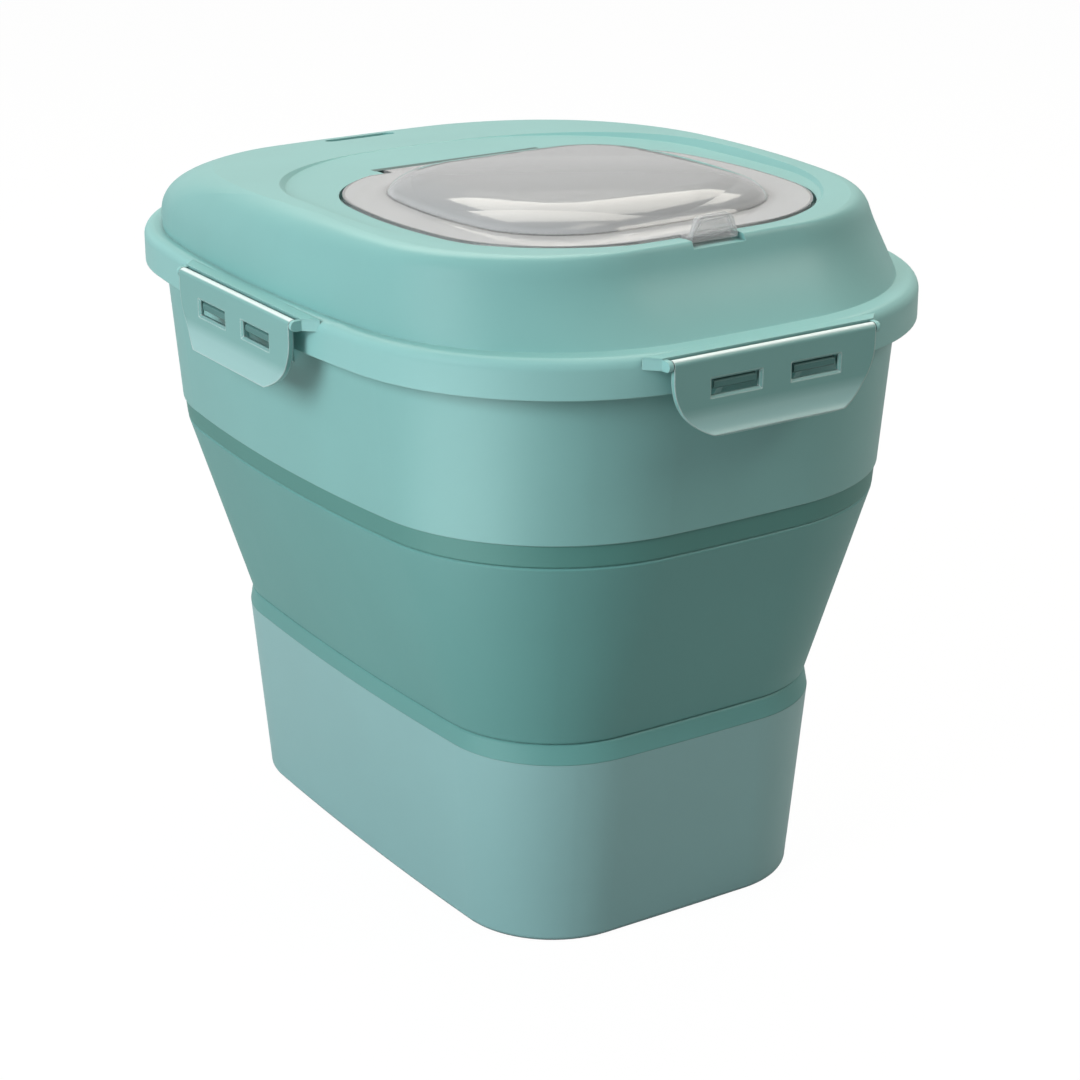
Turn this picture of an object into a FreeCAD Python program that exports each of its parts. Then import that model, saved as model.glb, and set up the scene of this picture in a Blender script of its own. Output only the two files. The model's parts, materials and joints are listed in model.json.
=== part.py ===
import FreeCAD, Part
import math
import os
from collections import namedtuple

os.makedirs("parts", exist_ok=True)
V = FreeCAD.Vector

# Folding rice bin. Millimetres, +Z up, floor at z = 0, the hatch tab faces -Y.

# Heights of the mouldings, stacked from the floor up
TUB_TOP = 93.8
LOW_CUFF_TALL = 9.3
PANEL_TALL = 95.4
HIGH_CUFF_TALL = 10.9
RING_TALL = 80.6
SKIRT_DROP = 11.3
LEDGE_RISE = 6.0
FOLD_LOW = TUB_TOP + LOW_CUFF_TALL
FOLD_HIGH = FOLD_LOW + PANEL_TALL
RING_LOW = FOLD_HIGH + HIGH_CUFF_TALL
RING_TOP = RING_LOW + RING_TALL
SKIRT_LOW = RING_TOP - SKIRT_DROP
LEDGE_TOP = RING_TOP + LEDGE_RISE

# Plan half sizes at the moulding lines
FOOT_HALF_WIDTH = 89.9
FOOT_HALF_DEPTH = 140.0
BAND_HALF_WIDTH = 98.6
BAND_HALF_DEPTH = 149.6
LOW_CUFF_SIDE_STEP = 0.5
LOW_CUFF_END_STEP = 2.6
RING_LOW_HALF_WIDTH = 133.4
RING_LOW_HALF_DEPTH = 178.7
HIGH_CUFF_SIDE_STEP = 2.4
HIGH_CUFF_END_STEP = 1.5
RING_TOP_HALF_WIDTH = 139.8
RING_TOP_HALF_DEPTH = 185.8
RIM_OVER = 9.2
RIM_HALF_WIDTH = RING_TOP_HALF_WIDTH + RIM_OVER
RIM_HALF_DEPTH = RING_TOP_HALF_DEPTH + RIM_OVER

# Roundness of the plan: it grows evenly from the foot to the lid's rim
FOOT_SIDE_BOW = 4.5
FOOT_END_BOW = 1.2
FOOT_CORNER = 48.0
RIM_SIDE_BOW = 24.8
RIM_END_BOW = 11.7
RIM_CORNER = 112.0

# How far a cutter runs past the face it opens, and the least overlap of two cutters
PAST = 1.0
TOUCH = 0.01

# Walls
TUB_WALL = 2.6
FOLD_WALL = 2.2
LID_WALL = 2.5
NECK_WALL = 2.0

# Base tub
FOOT_ROUND = 3.0
FOOT_STATIONS = 5
FOOT_RING = 14.0
FOOT_LIFT = 2.5
FLOOR = 3.0
NECK_END_GAP = 2.0
NECK_TALL = LOW_CUFF_TALL - NECK_END_GAP
NECK_SET_IN = 2.4
UNDER_RIBS = 3
UNDER_RIB_WIDTH = 2.0
UNDER_RIB_LIFT = 0.5
UNDER_RIB_LAP = 1.0

# Fold wall hinge grooves
GROOVE_DEEP = 0.9
GROOVE_HALF = 0.8
CUFF_SET_IN = 0.8
CUFF_LAP = 0.5
RING_NECK_SET_IN = 3.6
RING_NECK_TALL = HIGH_CUFF_TALL - NECK_END_GAP

# Ring rim and lid gasket
FLANGE_OUT = 5.6
FLANGE_THICK = 2.4
GASKET_SIDE_GAP = 0.6

# Hatch, laid out in the pan's own plane with the hinge at its back edge
HINGE_Y = 48.0
PAN_RISE = 30.0
PAN_AT_HINGE = LEDGE_TOP + PAN_RISE
HATCH_HALF_WIDTH = 98.0
HATCH_LONG = 196.0
HATCH_SIDE_BOW = 20.0
HATCH_END_BOW = 4.0
HATCH_CORNER = 68.0
HATCH_GAP = 1.6
HATCH_THICK = 2.2
HATCH_PROUD = 0.8
RECESS_DEEP = 4.0
OPENING_SET_IN = 16.0
PLUG_RIB_GAP = 1.2
PLUG_RIB = 2.0
PLUG_RIB_DEEP = 7.0
SEAL_OUTER_SET_IN = 9.0
SEAL_WIDE = 4.5
PILLOW_SET_IN = 20.0
PILLOW_RISE = 9.6
PILLOW_CROWN = 26.0
PILLOW_STATIONS = 5

# Sunk pan round the hatch
PAN_TILT = 1.4
PAN_SIDE_MARGIN = 14.0
PAN_FRONT_MARGIN = 5.0
PAN_HALF_WIDTH = HATCH_HALF_WIDTH + PAN_SIDE_MARGIN
PAN_FRONT = HATCH_LONG - HINGE_Y + PAN_FRONT_MARGIN
PAN_BACK = 96.0
PAN_SIDE_BOW = 8.0
PAN_END_BOW = 6.0
PAN_CORNER = 98.0
PAN_EDGE_TALL = 6.0
PAN_EDGE_RUN = 6.0

# Lid skirt, plug and dome
RIM_ROUND = 5.0
LEDGE_THICK = 2.6
PLUG_GAP = 1.8
PLUG_WALL = 2.4
PLUG_REACH = 9.0
PLUG_LOW = RING_TOP - PLUG_REACH
DOME_SIDE_SET_IN = 7.0
DOME_END_SET_IN = 12.0
CREST_RISE = 35.2
CREST_SIDE_MARGIN = 17.0
CREST_FRONT_MARGIN = 7.0
CREST_HALF_WIDTH = PAN_HALF_WIDTH + CREST_SIDE_MARGIN
CREST_FRONT = PAN_FRONT + CREST_FRONT_MARGIN
CREST_BACK = 87.0
CREST_SIDE_BOW = 22.0
CREST_END_BOW = 8.0
CREST_CORNER = 86.0
CREST_ROUND_WIDE = 8.0
CREST_FRONT_ROUND = 2.0
CREST_ROUND_TALL = 7.0
FRONT_COVE = 1.7
SIDE_LEAN = 1.9
BACK_SHOULDER = 3.3
DOME_STATIONS = 9
DOME_LAP = 0.5
BACK_FALL_RADIUS = 1900.0
BACK_FALL_Y = 60.0
BACK_FALL_OVER = 0.3

# Hatch hinge
BARREL_HALF = 44.4
SHOULDER = 6.5
BARREL_RADIUS = 3.2
PIN_RADIUS = 1.2
PIN_RUN = 0.05
PIN_HALF = 48.6
TROUGH_END_GAP = 0.5
TROUGH_GAP = 1.2
TROUGH_FLOOR_GAP = 0.4
WEB_LONG = 12.8
CLIP_SLOT = 1.4
CLIP_SLOT_LONG = 9.0

# Hatch tab
TAB_LOW_HALF = 12.0
TAB_TOP_HALF = 9.0
TAB_TALL = 8.6
TAB_THICK = 3.0
TAB_WEB = 1.2
TAB_BORDER = 2.0
TAB_ROUND = 3.4
TAB_OUT = 8.5
TAB_GAP = 1.6

# Scoop slot in the lid's back
SLOT_Y = 150.0
SLOT_HALF = 20.0
SLOT_WIDE = 9.0
SLOT_RISE = 9.0
SLOT_FLOOR = LEDGE_TOP + SLOT_RISE

# Latches, one on each side
LATCH_HALF = 53.0
AXIS_OUT = 4.4
AXIS_DROP = 3.0
BEAD_RADIUS = 2.4
BEAD_GAP = 0.3
PLATE_DROP = 21.0
LIP_DROP = 12.0
LIP_OUT = 4.0
LATCH_CORNER = 27.0
PLATE_THICK = 2.4
TRUNNION_RADIUS = 1.2
TRUNNION_LONG = 1.6
TRUNNION_RUN = 0.05
EAR_GAP = 0.4
EAR_THICK = 2.2
EAR_BORE = 1.54
PAD_FLARE = 6.0
SIDE_LATCH_FORWARD = 8.0
WINDOW_PITCH = 42.0
WINDOW_WIDE = 25.0
WINDOW_TALL = 7.0
WINDOW_TOP = 8.5
WINDOW_BEVEL = 1.0
LUG_WIDE = 22.0
LUG_TALL = 4.2
LUG_TOP_GAP = 0.5
LUG_ENTRY = 1.2
LUG_NOSE = 0.9
LUG_RIB = 3.0
LUG_ROOT = 10.0
NOTCH_SIDE_GAP = 4.0
NOTCH_DROP = 9.6
NOTCH_TOP = LEDGE_TOP - NOTCH_DROP
NOTCH_IN = 7.0

Plan = namedtuple("Plan", "half_width half_depth side_radius end_radius corner y")
Side = namedtuple("Side", "turn reach wall along")


def mix(low, high, share):
    return low + (high - low) * share


def bow_radius(half_chord, bow):
    return (half_chord ** 2 + bow ** 2) / (2.0 * bow)


def plan(half_width, half_depth, side_bow, end_bow, corner, y=0.0):
    return Plan(half_width, half_depth, bow_radius(half_depth, side_bow),
                bow_radius(half_width, end_bow), corner, y)


def body_plan(half_width, half_depth):
    share = (half_width - FOOT_HALF_WIDTH) / (RIM_HALF_WIDTH - FOOT_HALF_WIDTH)
    return plan(half_width, half_depth, mix(FOOT_SIDE_BOW, RIM_SIDE_BOW, share),
                mix(FOOT_END_BOW, RIM_END_BOW, share), mix(FOOT_CORNER, RIM_CORNER, share))


def inset(p, d):
    """The parallel outline d inside p, or outside it for a negative d."""
    return Plan(p.half_width - d, p.half_depth - d, p.side_radius - d,
                p.end_radius - d, p.corner - d, p.y)


def between(low, high, share):
    return Plan(*[mix(a, b, share) for a, b in zip(low, high)])


def corner_centre(p):
    """Centre of the corner arc that touches both the side arc and the end arc."""
    ax = p.half_width - p.side_radius
    by = p.half_depth - p.end_radius
    ra = p.side_radius - p.corner
    rb = p.end_radius - p.corner
    d = math.hypot(ax, by)
    ux, uy = -ax / d, by / d
    along = (ra ** 2 - rb ** 2 + d ** 2) / (2.0 * d)
    across = math.sqrt(ra ** 2 - along ** 2)
    return ax + ux * along - uy * across, uy * along + ux * across


def arc(cx, cy, r, start, end, z):
    points = []
    for a in (start, 0.5 * (start + end), end):
        points.append(V(cx + r * math.cos(a), cy + r * math.sin(a), z))
    return Part.Arc(*points).toShape()


def wire(p, z):
    """Closed outline of eight tangent arcs: bowed sides, bowed ends, round corners."""
    cx, cy = corner_centre(p)
    ax = p.half_width - p.side_radius
    by = p.half_depth - p.end_radius
    low = math.atan2(cy, cx - ax)
    high = math.atan2(cy - by, cx)
    full, half = math.pi, 0.5 * math.pi
    y = p.y
    edges = [arc(ax, y, p.side_radius, -low, low, z),
             arc(cx, y + cy, p.corner, low, high, z),
             arc(0.0, y + by, p.end_radius, high, full - high, z),
             arc(-cx, y + cy, p.corner, full - high, full - low, z),
             arc(-ax, y, p.side_radius, full - low, full + low, z),
             arc(-cx, y - cy, p.corner, full + low, full + high, z),
             arc(0.0, y - by, p.end_radius, full + high, 2 * full - high, z),
             arc(cx, y - cy, p.corner, 4 * half - high, 4 * half - low, z)]
    return Part.Wire(edges)


def prism(p, low, high):
    return Part.Face(wire(p, low)).extrude(V(0, 0, high - low))


def loft(stations, ruled=True):
    """Solid through (plan, height) stations."""
    return Part.makeLoft([wire(p, z) for p, z in stations], True, ruled)


def ring(outer, inner, low, high):
    return prism(outer, low, high).cut(prism(inner, low - PAST, high + PAST))


def block(x0, x1, y0, y1, z0, z1):
    return Part.makeBox(x1 - x0, y1 - y0, z1 - z0, V(x0, y0, z0))


def rod(x0, x1, y, z, radius):
    return Part.makeCylinder(radius, x1 - x0, V(x0, y, z), V(1, 0, 0))


def placed(shape, side):
    """Take a shape built at the middle of the front to its place on a side."""
    return shape.translated(V(side.along, 0, 0)).rotated(V(0, 0, 0), V(0, 0, 1), side.turn)


def rounded(shape, z, radius):
    """Fillet the edges of the level face at height z."""
    edges = [e for e in shape.Edges if abs(e.BoundBox.ZMin - z) < 1e-4
             and abs(e.BoundBox.ZMax - z) < 1e-4]
    return shape.makeFillet(radius, edges)


FOOT = body_plan(FOOT_HALF_WIDTH, FOOT_HALF_DEPTH)
BAND = body_plan(BAND_HALF_WIDTH, BAND_HALF_DEPTH)
PANEL_LOW = body_plan(BAND_HALF_WIDTH - LOW_CUFF_SIDE_STEP, BAND_HALF_DEPTH - LOW_CUFF_END_STEP)
PANEL_HIGH = body_plan(RING_LOW_HALF_WIDTH - HIGH_CUFF_SIDE_STEP,
                       RING_LOW_HALF_DEPTH - HIGH_CUFF_END_STEP)
RING_FOOT = body_plan(RING_LOW_HALF_WIDTH, RING_LOW_HALF_DEPTH)
RING_HEAD = body_plan(RING_TOP_HALF_WIDTH, RING_TOP_HALF_DEPTH)
RIM = body_plan(RIM_HALF_WIDTH, RIM_HALF_DEPTH)
TUB_NECK = inset(BAND, NECK_SET_IN)
RING_NECK = inset(RING_FOOT, RING_NECK_SET_IN)
PLUG = inset(RING_HEAD, TUB_WALL + PLUG_GAP)
FLANGE = inset(RING_HEAD, -FLANGE_OUT)

SIDES = {"front": Side(0, RIM_HALF_DEPTH, RING_TOP_HALF_DEPTH, 0.0),
         "right": Side(90, RIM_HALF_WIDTH, RING_TOP_HALF_WIDTH, -SIDE_LATCH_FORWARD),
         "back": Side(180, RIM_HALF_DEPTH, RING_TOP_HALF_DEPTH, 0.0),
         "left": Side(-90, RIM_HALF_WIDTH, RING_TOP_HALF_WIDTH, SIDE_LATCH_FORWARD)}
AXIS_Z = LEDGE_TOP - AXIS_DROP


def base_tub():
    """Bottom tub: tapered walls, rounded foot ring and the neck that the fold grips."""
    outer = tub_skin()
    neck = prism(TUB_NECK, TUB_TOP - TUB_WALL, TUB_TOP + NECK_TALL)
    floor_top = FOOT_LIFT + FLOOR
    throat = inset(TUB_NECK, NECK_WALL)
    room = loft([(inset(FOOT, TUB_WALL), floor_top),
                 (inset(BAND, TUB_WALL), TUB_TOP - 2 * TUB_WALL),
                 (throat, TUB_TOP - TUB_WALL),
                 (throat, TUB_TOP + NECK_TALL + PAST)])
    foot = prism(inset(FOOT, FOOT_RING), -PAST, FOOT_LIFT)
    tub = outer.fuse(neck).cut(room).cut(foot)
    return tub.fuse(under_ribs()).removeSplitter()


def tub_skin():
    """Outside of the tub: a straight taper on a rounded foot."""
    knee = between(FOOT, BAND, FOOT_ROUND / TUB_TOP)
    stations = []
    for i in range(FOOT_STATIONS):
        a = 0.5 * math.pi * i / (FOOT_STATIONS - 1.0)
        step = FOOT_ROUND * (1.0 - math.sin(a))
        stations.append((inset(knee, step), FOOT_ROUND * (1.0 - math.cos(a))))
    return loft(stations, False).fuse(loft([(knee, FOOT_ROUND), (BAND, TUB_TOP)]))


def under_ribs():
    """Straight ribs under the floor, inside the foot ring."""
    field = prism(inset(FOOT, FOOT_RING - UNDER_RIB_LAP), UNDER_RIB_LIFT, FOOT_LIFT)
    pitch = 2.0 * FOOT_HALF_DEPTH / (UNDER_RIBS + 1)
    ribs = None
    for i in range(UNDER_RIBS):
        y = pitch * (i + 1) - FOOT_HALF_DEPTH
        rib = block(-FOOT_HALF_WIDTH, FOOT_HALF_WIDTH, y - 0.5 * UNDER_RIB_WIDTH,
                    y + 0.5 * UNDER_RIB_WIDTH, UNDER_RIB_LIFT, FOOT_LIFT)
        ribs = rib if ribs is None else ribs.fuse(rib)
    return ribs.common(field)


def fold_stations(skin):
    """Sloped panel with a hinge groove at each end; skin is the depth below its face."""
    rise = FOLD_HIGH - FOLD_LOW
    share = GROOVE_HALF / rise
    groove = skin + GROOVE_DEEP
    return [(inset(PANEL_LOW, skin), FOLD_LOW - GROOVE_HALF),
            (inset(PANEL_LOW, groove), FOLD_LOW),
            (inset(between(PANEL_LOW, PANEL_HIGH, share), skin), FOLD_LOW + GROOVE_HALF),
            (inset(between(PANEL_LOW, PANEL_HIGH, 1.0 - share), skin), FOLD_HIGH - GROOVE_HALF),
            (inset(PANEL_HIGH, groove), FOLD_HIGH),
            (inset(PANEL_HIGH, skin), FOLD_HIGH + GROOVE_HALF)]


def fold_wall():
    """Soft wall in one moulding: cuff on the tub, sloped panel, cuff on the ring."""
    cuff = inset(RING_FOOT, CUFF_SET_IN)
    outer = loft([(BAND, TUB_TOP)] + fold_stations(0.0) + [(cuff, RING_LOW)])
    tub_neck_top = TUB_TOP + NECK_TALL
    ring_neck_low = RING_LOW - RING_NECK_TALL
    inner = loft([(inset(PANEL_LOW, FOLD_WALL), tub_neck_top - CUFF_LAP),
                  (inset(PANEL_LOW, FOLD_WALL), FOLD_LOW),
                  (inset(PANEL_HIGH, FOLD_WALL + GROOVE_DEEP), FOLD_HIGH),
                  (inset(RING_NECK, NECK_WALL), ring_neck_low + CUFF_LAP)])
    low = prism(TUB_NECK, TUB_TOP - PAST, tub_neck_top)
    high = prism(RING_NECK, ring_neck_low, RING_LOW + PAST)
    return outer.cut(inner).cut(low).cut(high)


def lug_pair(side):
    """Two catch lugs and their ribs, built at the front and turned to their side."""
    tip = side.reach + AXIS_OUT + LUG_ENTRY
    root = side.wall - LUG_ROOT
    top = AXIS_Z - WINDOW_TOP - LUG_TOP_GAP
    low = top - LUG_TALL
    rib_low = low - (tip - root)
    pair = None
    for x in (-0.5 * WINDOW_PITCH, 0.5 * WINDOW_PITCH):
        lug = block(x - 0.5 * LUG_WIDE, x + 0.5 * LUG_WIDE, -tip, -root, low, top)
        nose = [e for e in lug.Edges if abs(e.BoundBox.YMax + tip) < 1e-6
                and abs(e.BoundBox.ZMin - e.BoundBox.ZMax) < 1e-6]
        lug = lug.makeChamfer(LUG_NOSE, nose)
        foot = side.reach - 0.5 * AXIS_OUT
        corners = [V(x - 0.5 * LUG_RIB, -foot, low), V(x - 0.5 * LUG_RIB, -root, low),
                   V(x - 0.5 * LUG_RIB, -root, rib_low), V(x - 0.5 * LUG_RIB, -foot, low)]
        rib = Part.Face(Part.makePolygon(corners)).extrude(V(LUG_RIB, 0, 0))
        one = lug.fuse(rib)
        pair = one if pair is None else pair.fuse(one)
    return placed(pair, side)


def upper_ring():
    """Upper wall: neck for the fold, tapered wall, rim flange and eight catch lugs."""
    outer = loft([(RING_FOOT, RING_LOW), (RING_HEAD, RING_TOP)])
    neck = prism(RING_NECK, RING_LOW - RING_NECK_TALL, RING_LOW + TUB_WALL)
    flange = prism(FLANGE, RING_TOP - FLANGE_THICK, RING_TOP)
    solid = outer.fuse(neck).fuse(flange)
    for side in SIDES.values():
        solid = solid.fuse(lug_pair(side))
    throat = inset(RING_NECK, NECK_WALL)
    room = loft([(throat, RING_LOW - RING_NECK_TALL - PAST), (throat, RING_LOW + TUB_WALL),
                 (inset(RING_FOOT, TUB_WALL), RING_LOW + 2.5 * TUB_WALL),
                 (inset(RING_HEAD, TUB_WALL), RING_TOP),
                 (inset(RING_HEAD, TUB_WALL), RING_TOP + PAST)])
    return solid.cut(room).removeSplitter()


def lid_gasket():
    """Flat ring between the lid's ledge and the rim flange."""
    outer = inset(RIM, LID_WALL + GASKET_SIDE_GAP)
    inner = inset(PLUG, -GASKET_SIDE_GAP)
    return ring(outer, inner, RING_TOP, LEDGE_TOP - LEDGE_THICK)


def dome_plan(share, skin):
    """Dome outline at a share of its rise: coved front, leaning sides, round back."""
    foot = RIM_HALF_DEPTH - DOME_END_SET_IN
    roll = crest_roll(share)
    front = mix(foot, CREST_FRONT, 1.0 - (1.0 - share) ** FRONT_COVE) - CREST_FRONT_ROUND * roll
    back = mix(foot, CREST_BACK, share ** BACK_SHOULDER) - CREST_ROUND_WIDE * roll
    side = RIM_HALF_WIDTH - DOME_SIDE_SET_IN
    width = mix(side, CREST_HALF_WIDTH, share ** SIDE_LEAN) - CREST_ROUND_WIDE * roll
    base = inset(RIM, DOME_SIDE_SET_IN)
    p = plan(width, 0.5 * (front + back), mix(RIM_SIDE_BOW, CREST_SIDE_BOW, share),
             mix(RIM_END_BOW, CREST_END_BOW, share), mix(base.corner, CREST_CORNER, share),
             0.5 * (back - front))
    return inset(p, skin)


def crest_roll(share):
    """How far the flank has rolled over into the top: a quarter round, from 0 to 1."""
    start = 1.0 - CREST_ROUND_TALL / CREST_RISE
    t = max(0.0, (share - start) / (1.0 - start))
    return 1.0 - math.sqrt(1.0 - t ** 2)


def dome(skin, rise, tilt):
    """Lofted dome; each station leans a little more until the top has the given tilt."""
    wires = []
    for i in range(DOME_STATIONS):
        share = math.sin(0.5 * math.pi * i / (DOME_STATIONS - 1.0))
        z = LEDGE_TOP + rise * share
        w = wire(dome_plan(share, skin), z)
        wires.append(w.rotated(V(0, 0, z), V(1, 0, 0), -tilt * share))
    return Part.makeLoft(wires, True, False)


def dome_skin():
    """Outside of the dome: level crest in front, falling in a long arc to the back."""
    far = 2.0 * RIM_HALF_DEPTH
    top = LEDGE_TOP + CREST_RISE
    drum = rod(-far, far, -BACK_FALL_Y, top + BACK_FALL_OVER - BACK_FALL_RADIUS, BACK_FALL_RADIUS)
    fall = block(-far, far, -0.5 * BACK_FALL_Y, far, LEDGE_TOP, top + HIGH).cut(drum)
    return dome(0.0, CREST_RISE, 0.0).cut(fall)


def on_lid(shape):
    """Lay a shape made in the pan's plane, hinge at y = 0, onto the tilted lid."""
    return shape.rotated(V(0, 0, 0), V(1, 0, 0), -PAN_TILT).translated(V(0, HINGE_Y, PAN_AT_HINGE))


HATCH = plan(HATCH_HALF_WIDTH, 0.5 * HATCH_LONG, HATCH_SIDE_BOW, HATCH_END_BOW,
             HATCH_CORNER, -0.5 * HATCH_LONG)
OPENING = inset(HATCH, OPENING_SET_IN)
BARREL_Z = HATCH_PROUD - BARREL_RADIUS
TROUGH_HALF = BARREL_HALF + TROUGH_END_GAP
TROUGH_BACK = BARREL_RADIUS + TROUGH_GAP
TROUGH_LOW = BARREL_Z - BARREL_RADIUS - TROUGH_FLOOR_GAP
FLANGE_LOW = HATCH_PROUD - HATCH_THICK
TAB_Y = -HATCH_LONG - TAB_OUT
HIGH = 60.0


def pan_cut():
    """Sunk pan with a sloped edge; its floor is flush in front and deepens to the back."""
    floor = plan(PAN_HALF_WIDTH, 0.5 * (PAN_FRONT + PAN_BACK), PAN_SIDE_BOW, PAN_END_BOW,
                 PAN_CORNER, 0.5 * (PAN_BACK - PAN_FRONT) - HINGE_Y)
    return loft([(floor, 0.0), (inset(floor, -PAN_EDGE_RUN), PAN_EDGE_TALL)])


def behind(back):
    """Everything behind the line where the hatch's flange stops beside its hinge."""
    return block(-HATCH_HALF_WIDTH, HATCH_HALF_WIDTH, -back, HIGH, -HIGH, 2.0 * HIGH)


def hatch_bed():
    """Stock below the pan that carries the hatch seat, the hinge trough and its ends."""
    bed = prism(inset(HATCH, -HATCH_GAP - LID_WALL), -RECESS_DEEP - LID_WALL, 0.0)
    trough = block(-PIN_HALF - LID_WALL, PIN_HALF + LID_WALL, -SHOULDER - LID_WALL,
                   TROUGH_BACK + LID_WALL, TROUGH_LOW - LID_WALL, 0.0)
    tab = block(-TAB_LOW_HALF - TAB_GAP - LID_WALL, TAB_LOW_HALF + TAB_GAP + LID_WALL,
                TAB_Y - TAB_GAP - LID_WALL, -HATCH_LONG, FLANGE_LOW - TAB_GAP - LID_WALL, 0.0)
    return bed.fuse(trough).fuse(tab)


def hatch_cuts():
    """Seat recess, opening, hinge trough, pin bores, clip slots and tab notch."""
    seat = prism(inset(HATCH, -HATCH_GAP), -RECESS_DEEP, HIGH).cut(behind(SHOULDER - HATCH_GAP))
    hole = prism(OPENING, -HIGH, HIGH)
    trough = block(-TROUGH_HALF, TROUGH_HALF, -SHOULDER, TROUGH_BACK, TROUGH_LOW, HIGH)
    pin = rod(-PIN_HALF, PIN_HALF, 0.0, BARREL_Z, PIN_RADIUS)
    notch = block(-TAB_LOW_HALF - TAB_GAP, TAB_LOW_HALF + TAB_GAP, TAB_Y - HIGH,
                  -HATCH_LONG, FLANGE_LOW - TAB_GAP, HIGH)
    cuts = seat.fuse(hole).fuse(trough).fuse(pin).fuse(notch)
    for x in (-TROUGH_HALF - CLIP_SLOT, TROUGH_HALF):
        cuts = cuts.fuse(block(x, x + CLIP_SLOT, -0.5 * CLIP_SLOT_LONG, 0.5 * CLIP_SLOT_LONG,
                               BARREL_Z, HIGH))
    return cuts


def slot_shape(half, wide, low):
    """Upright slug with round ends, centred on the scoop slot."""
    r = 0.5 * wide
    body = block(-half + r, half - r, SLOT_Y - r, SLOT_Y + r, low, LEDGE_TOP + HIGH)
    for x in (-half + r, half - r):
        body = body.fuse(Part.makeCylinder(r, LEDGE_TOP + HIGH - low, V(x, SLOT_Y, low)))
    return body


def latch_pad(side):
    """Straight shelf and two ears on the rim that carry one latch."""
    axis = side.reach + AXIS_OUT
    inner = side.reach - AXIS_OUT
    ear_in = LATCH_HALF + EAR_GAP
    ear_out = ear_in + EAR_THICK
    lip = axis - BEAD_RADIUS - BEAD_GAP
    low = AXIS_Z - BEAD_RADIUS
    root = ear_out + PAD_FLARE
    corners = [V(-ear_out, -lip, low), V(ear_out, -lip, low), V(root, -inner, low), V(-root, -inner, low)]
    pad = Part.Face(Part.makePolygon(corners + corners[:1])).extrude(V(0, 0, LEDGE_TOP - low))
    for x in (-ear_out, ear_in):
        arm = block(x, x + EAR_THICK, -axis, -inner, AXIS_Z - BEAD_RADIUS, AXIS_Z + BEAD_RADIUS)
        pad = pad.fuse(arm).fuse(rod(x, x + EAR_THICK, -axis, AXIS_Z, BEAD_RADIUS))
    return placed(pad, side)


def latch_cuts(side):
    """Bores for the latch trunnions and the notch in the skirt for the lugs."""
    axis = side.reach + AXIS_OUT
    half = LATCH_HALF + EAR_GAP + EAR_BORE
    bore = rod(-half, half, -axis, AXIS_Z, TRUNNION_RADIUS + TRUNNION_RUN)
    wide = 0.5 * (WINDOW_PITCH + LUG_WIDE) + NOTCH_SIDE_GAP
    notch = block(-wide, wide, -axis, -side.reach + NOTCH_IN, SKIRT_LOW - PAST, NOTCH_TOP)
    return placed(bore.fuse(notch), side)


def lid_shell():
    """Lid: rolled rim and skirt, plug, domed top with the hatch seat, latch pads, slot."""
    rim = rounded(prism(RIM, SKIRT_LOW, LEDGE_TOP), LEDGE_TOP, RIM_ROUND)
    skin = dome_skin()
    solid = rim.fuse(skin)
    for side in SIDES.values():
        solid = solid.fuse(latch_pad(side))
    under = LEDGE_TOP - LEDGE_THICK
    channel = ring(inset(RIM, LID_WALL), PLUG, SKIRT_LOW - PAST, under)
    throat = inset(PLUG, PLUG_WALL)
    roof = PAN_AT_HINGE + HINGE_Y * math.tan(math.radians(PAN_TILT)) - LID_WALL
    hollow = dome(LID_WALL, roof - LEDGE_TOP, PAN_TILT)
    room = prism(throat, SKIRT_LOW - PAST, LEDGE_TOP + DOME_LAP).fuse(hollow)
    room = room.fuse(prism(PLUG, SKIRT_LOW - PAST, PLUG_LOW)).fuse(channel)
    shell = solid.cut(room)
    pocket = slot_shape(SLOT_HALF + LID_WALL, SLOT_WIDE + 2 * LID_WALL, SLOT_FLOOR - LID_WALL)
    bed = on_lid(hatch_bed()).fuse(pocket).common(skin)
    shell = shell.fuse(bed).cut(on_lid(pan_cut())).cut(on_lid(hatch_cuts()))
    shell = shell.cut(slot_shape(SLOT_HALF, SLOT_WIDE, SLOT_FLOOR))
    for side in SIDES.values():
        shell = shell.cut(latch_cuts(side))
    return shell


def pillow(skin, rise):
    """Raised middle of the hatch, its stations on a quarter round."""
    stations = []
    for i in range(PILLOW_STATIONS):
        a = 0.5 * math.pi * i / (PILLOW_STATIONS - 1.0)
        step = PILLOW_SET_IN + skin + PILLOW_CROWN * (1.0 - math.cos(a))
        stations.append((inset(HATCH, step), FLANGE_LOW + (rise + HATCH_THICK) * math.sin(a)))
    return loft(stations, False)


def tab():
    """Pull tab: a tongue and an upright plate with a thick border and a thin web."""
    tongue = block(-TAB_LOW_HALF, TAB_LOW_HALF, TAB_Y, -HATCH_LONG + TAB_OUT, FLANGE_LOW, HATCH_PROUD)
    plate = tab_plate(0.0, TAB_Y, TAB_THICK)
    side = 0.5 * (TAB_THICK - TAB_WEB)
    for y in (TAB_Y, TAB_Y + TAB_THICK - side):
        plate = plate.cut(tab_plate(TAB_BORDER, y, side))
    return tongue.fuse(plate)


def tab_plate(border, y, thick):
    low = HATCH_PROUD + border
    top = HATCH_PROUD + TAB_TALL - border
    points = [V(-TAB_LOW_HALF + border, y, low), V(TAB_LOW_HALF - border, y, low),
              V(TAB_TOP_HALF - border, y, top), V(-TAB_TOP_HALF + border, y, top)]
    plate = Part.Face(Part.makePolygon(points + points[:1])).extrude(V(0, thick, 0))
    corners = [e for e in plate.Edges if e.BoundBox.ZMin > top - 1e-6 and e.BoundBox.YLength > 0.5 * thick]
    return plate.makeFillet(TAB_ROUND - border, corners)


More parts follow.
